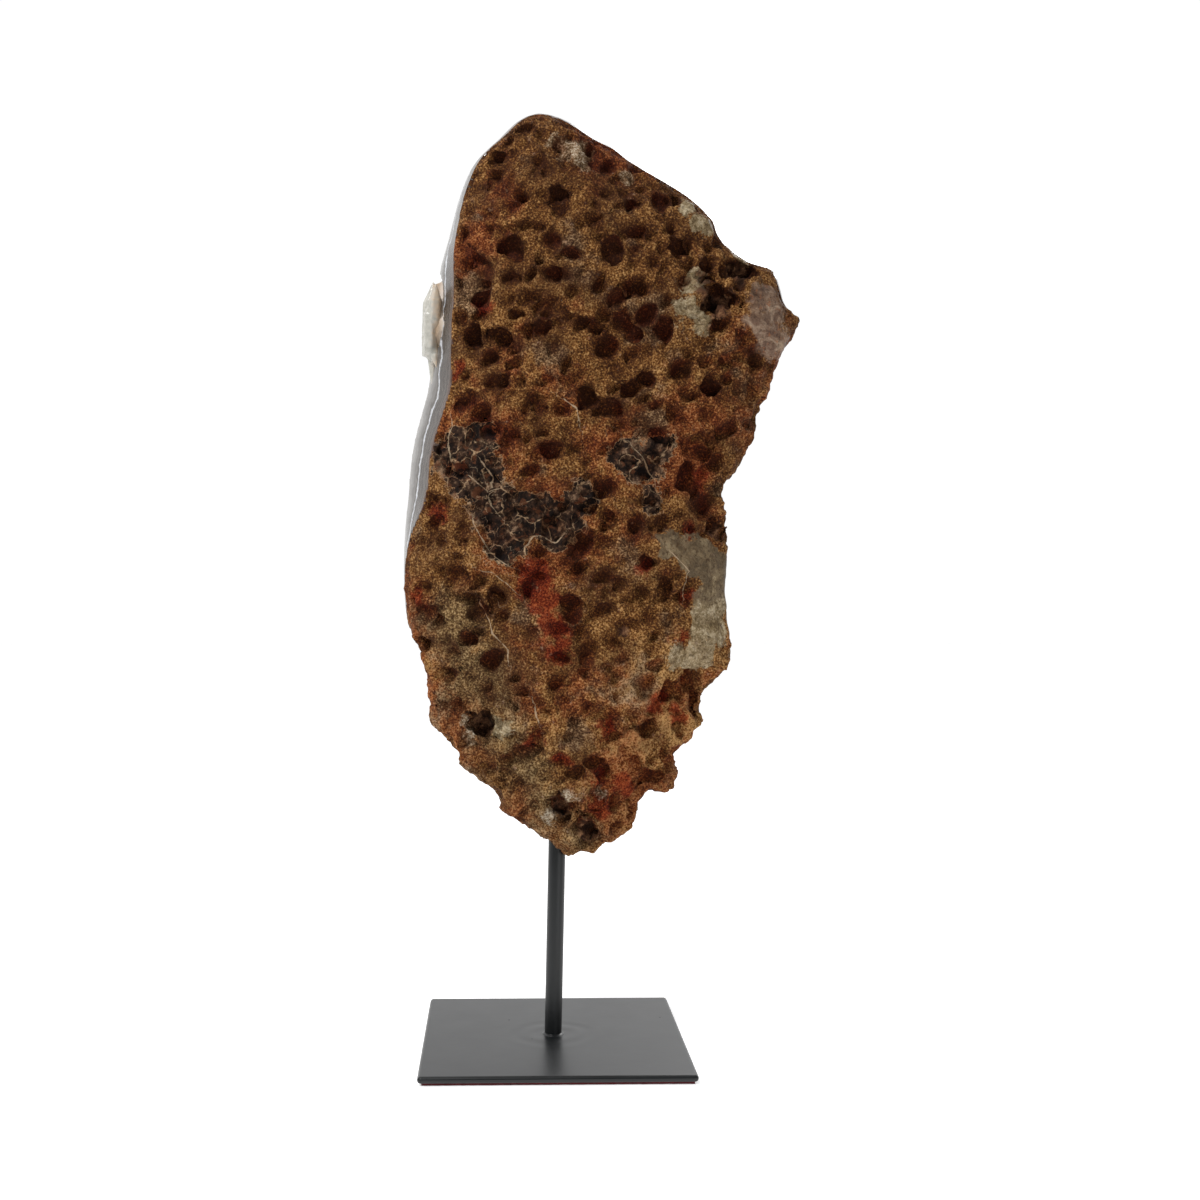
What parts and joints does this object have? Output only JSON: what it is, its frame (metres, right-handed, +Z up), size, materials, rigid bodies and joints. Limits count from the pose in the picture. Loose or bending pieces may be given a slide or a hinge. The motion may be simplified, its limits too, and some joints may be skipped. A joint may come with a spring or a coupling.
{
  "type": "agate druzy on a stand",
  "caption": "Agate geode slab with a pitted brown rind, polished rim and quartz-lined hollow, on a black steel rod and square base.",
  "frame": {"origin": "centre of the felt's underside, on the surface that the stand rests on", "axes": "+Z up the stone's length; -Y toward the rough brown rind; +Y toward the polished rim and the crystals; +X to the right when the rind is seen"},
  "size_m": [0.186, 0.12, 0.4384],
  "materials": {
    "felt": "thin dark red felt",
    "black_steel": "satin black paint",
    "agate": "spongy brown rind behind, polished grey banded agate at the rim",
    "quartz_crystals": "small bright crystal faces, whitish and partly clear"
  },
  "bodies": {
    "root": {"base_felt": "felt", "base_plate": "black_steel", "stand_rod": "black_steel", "agate_slab": "agate", "druzy_crust": "quartz_crystals"}
  },
  "joints": []
}
